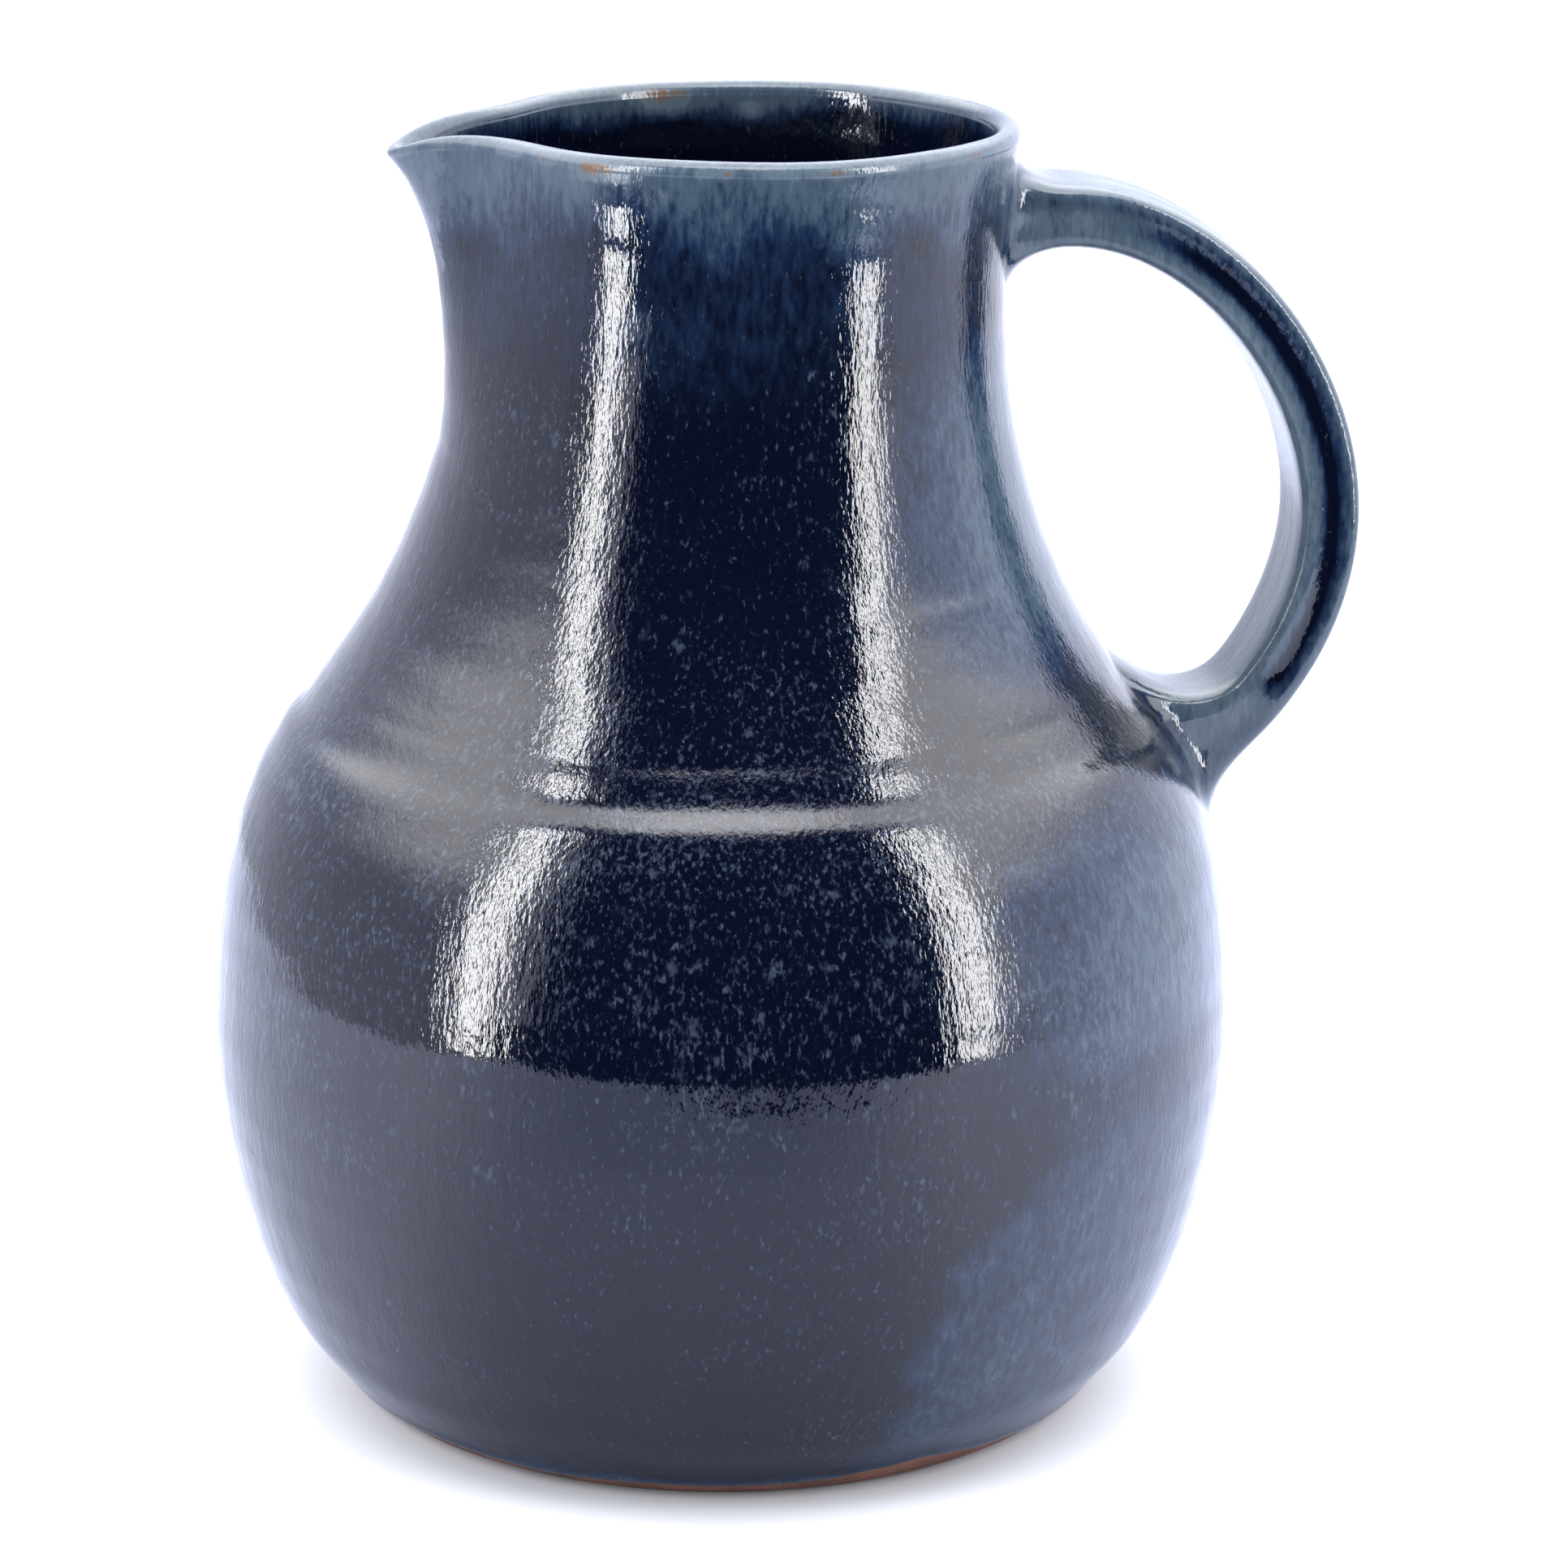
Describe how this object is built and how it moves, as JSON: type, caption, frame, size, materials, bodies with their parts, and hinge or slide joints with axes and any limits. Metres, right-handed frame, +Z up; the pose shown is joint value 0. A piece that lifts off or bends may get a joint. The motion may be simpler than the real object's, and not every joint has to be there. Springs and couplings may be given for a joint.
{
  "type": "ceramic pitcher",
  "caption": "Wheel-thrown stoneware pitcher: round belly, narrow neck, pinched pouring spout, pulled strap handle and dark blue glaze over a bare clay foot.",
  "frame": {"origin": "centre of the flat foot, on the table", "axes": "+Z up, +X from the foot's centre towards the handle, -X towards the spout, +Y completes a right-handed frame"},
  "size_m": [0.1971, 0.1768, 0.22],
  "materials": {
    "stoneware": "bare red-brown fired stoneware, matt and slightly gritty",
    "outside_glaze": "glossy blue-black glaze with pale blue specks, breaking to blue-grey and rust on edges",
    "inside_glaze": "glossy blue-black glaze with paler streaks below the rim"
  },
  "bodies": {
    "root": {"thrown_body": "stoneware", "handle_strap": "stoneware", "upper_handle_root": "stoneware", "lower_handle_root": "stoneware", "outside_glaze": "outside_glaze", "inside_glaze": "inside_glaze", "handle_glaze": "outside_glaze"}
  },
  "joints": []
}
